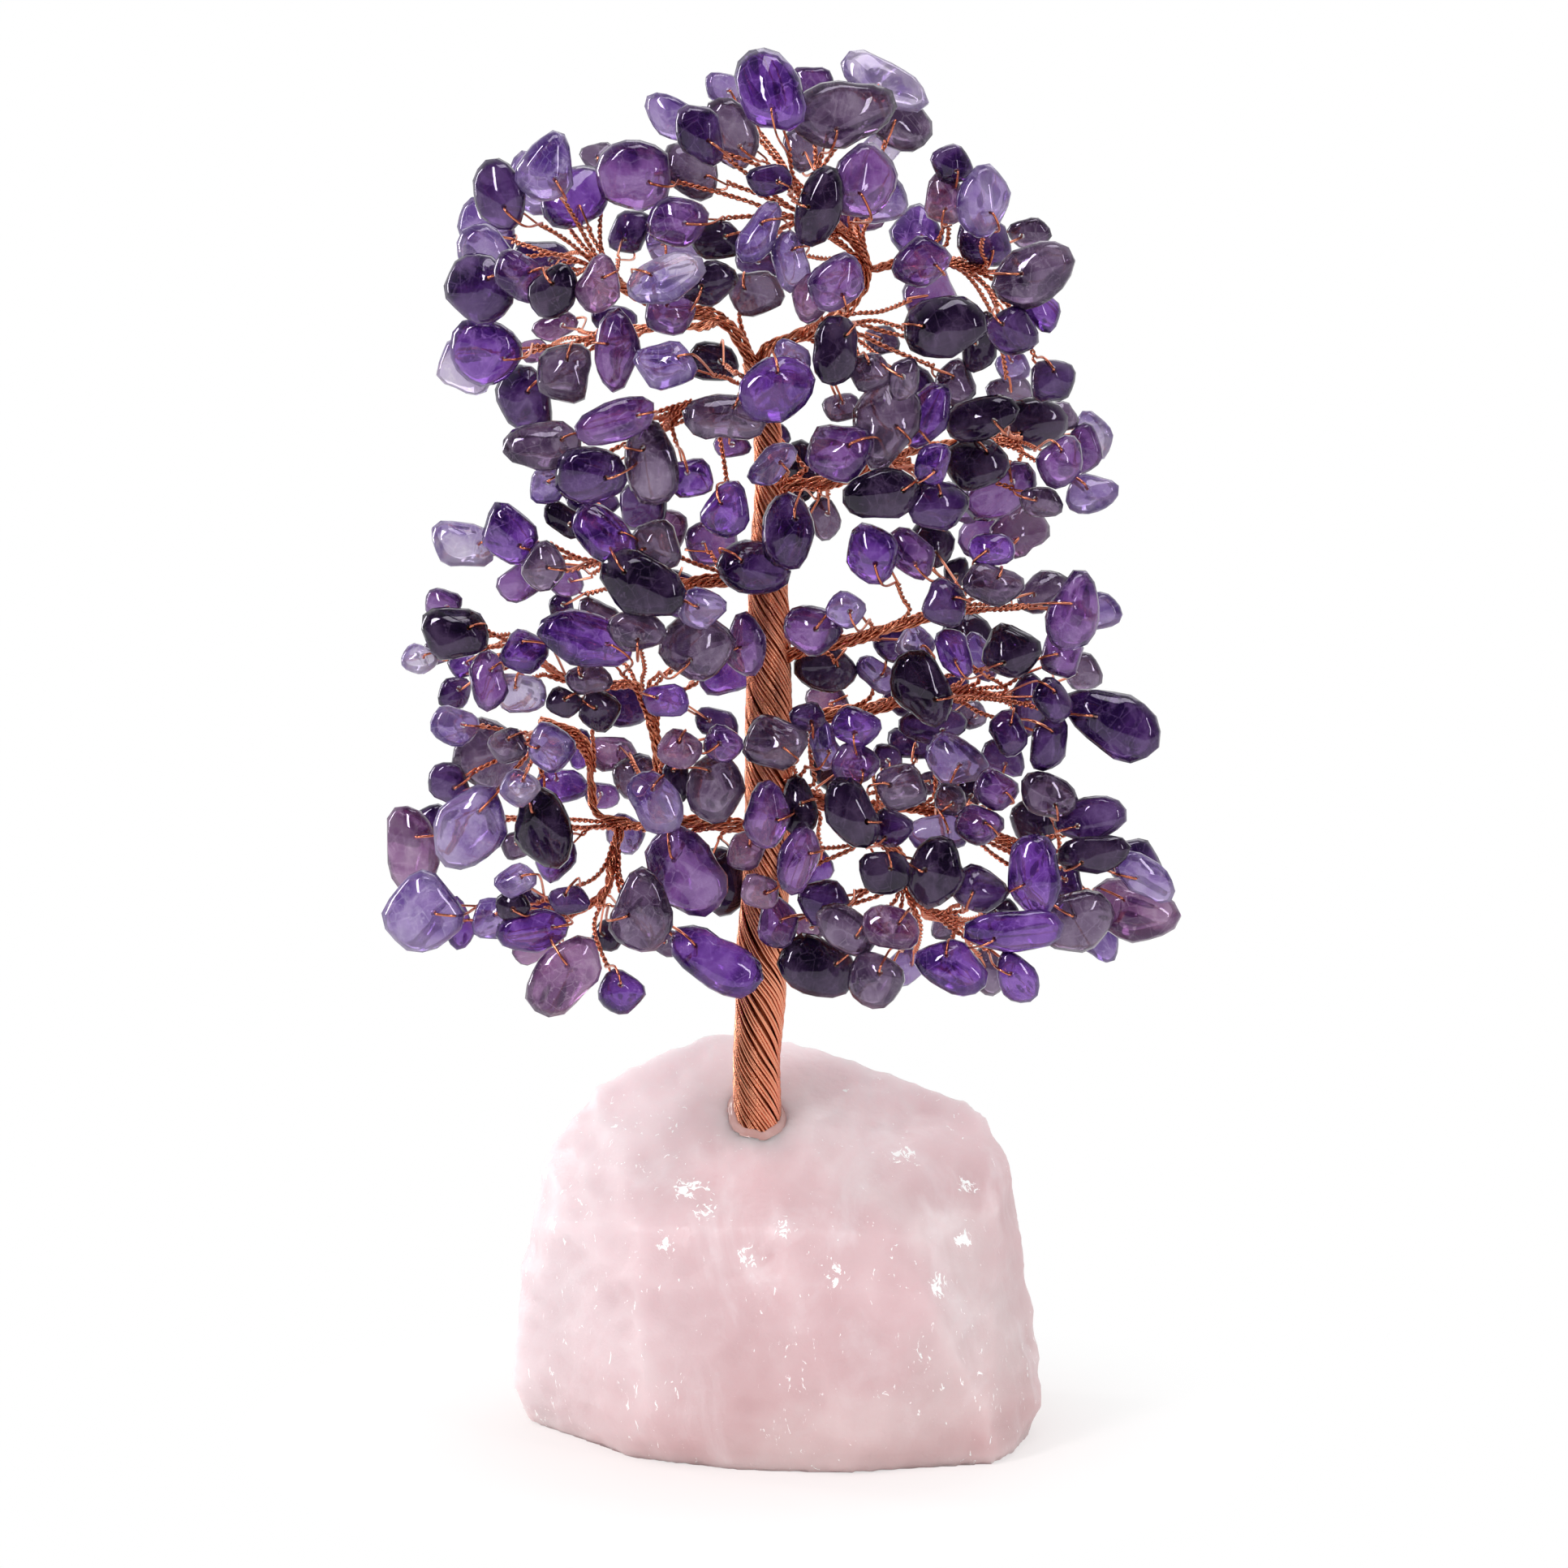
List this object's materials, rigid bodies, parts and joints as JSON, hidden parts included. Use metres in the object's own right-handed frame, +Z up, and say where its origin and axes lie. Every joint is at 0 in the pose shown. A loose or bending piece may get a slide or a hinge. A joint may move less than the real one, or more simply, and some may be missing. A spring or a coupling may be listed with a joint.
{
  "type": "gemstone tree ornament",
  "caption": "Small ornamental tree: a rough stone base holds a twisted copper wire trunk whose fanned boughs carry drilled, tumbled gemstone chips, each threaded on its own twisted wire pair.",
  "frame": {"origin": "on the flat resting face under the stone base, straight below the trunk's foot", "axes": "+Z up along the trunk, front towards -Y, +X to the viewer's right when seen from the front"},
  "size_m": [0.128, 0.0743, 0.2253],
  "materials": {
    "rose_quartz": "satin",
    "amethyst": "polished",
    "copper_wire": "polished",
    "clear_glue": "gloss"
  },
  "bodies": {
    "root": {"centre_front_bough": "copper_wire", "centre_front_chips": "amethyst", "centre_front_wires": "copper_wire", "crown_bough": "copper_wire", "crown_chips": "amethyst", "crown_wires": "copper_wire", "left_bottom_bough": "copper_wire", "left_bottom_chips": "amethyst", "left_bottom_wires": "copper_wire", "left_bough": "copper_wire", "left_chips": "amethyst", "left_dense_bough": "copper_wire", "left_dense_chips": "amethyst", "left_dense_wires": "copper_wire", "left_lower_bough": "copper_wire", "left_lower_chips": "amethyst", "left_lower_wires": "copper_wire", "left_outer_bough": "copper_wire", "left_outer_chips": "amethyst", "left_outer_wires": "copper_wire", "left_wires": "copper_wire", "lower_mid_left_bough": "copper_wire", "lower_mid_left_chips": "amethyst", "lower_mid_left_wires": "copper_wire", "mid_left_bough": "copper_wire", "mid_left_chips": "amethyst", "mid_left_wires": "copper_wire", "right_bottom_bough": "copper_wire", "right_bottom_chips": "amethyst", "right_bottom_wires": "copper_wire", "right_centre_bough": "copper_wire", "right_centre_chips": "amethyst", "right_centre_wires": "copper_wire", "right_low_bough": "copper_wire", "right_low_chips": "amethyst", "right_low_wires": "copper_wire", "right_lower_bough": "copper_wire", "right_lower_chips": "amethyst", "right_lower_wires": "copper_wire", "right_mid_bough": "copper_wire", "right_mid_chips": "amethyst", "right_mid_outer_bough": "copper_wire", "right_mid_outer_chips": "amethyst", "right_mid_outer_wires": "copper_wire", "right_mid_wires": "copper_wire", "right_outer_bough": "copper_wire", "right_outer_chips": "amethyst", "right_outer_wires": "copper_wire", "right_side_bough": "copper_wire", "right_side_chips": "amethyst", "right_side_wires": "copper_wire", "right_upper_bough": "copper_wire", "right_upper_chips": "amethyst", "right_upper_wires": "copper_wire", "rose_quartz_base": "rose_quartz", "setting_glue": "clear_glue", "trunk_bundle": "copper_wire", "upper_left_bough": "copper_wire", "upper_left_chips": "amethyst", "upper_left_wires": "copper_wire"}
  },
  "joints": []
}
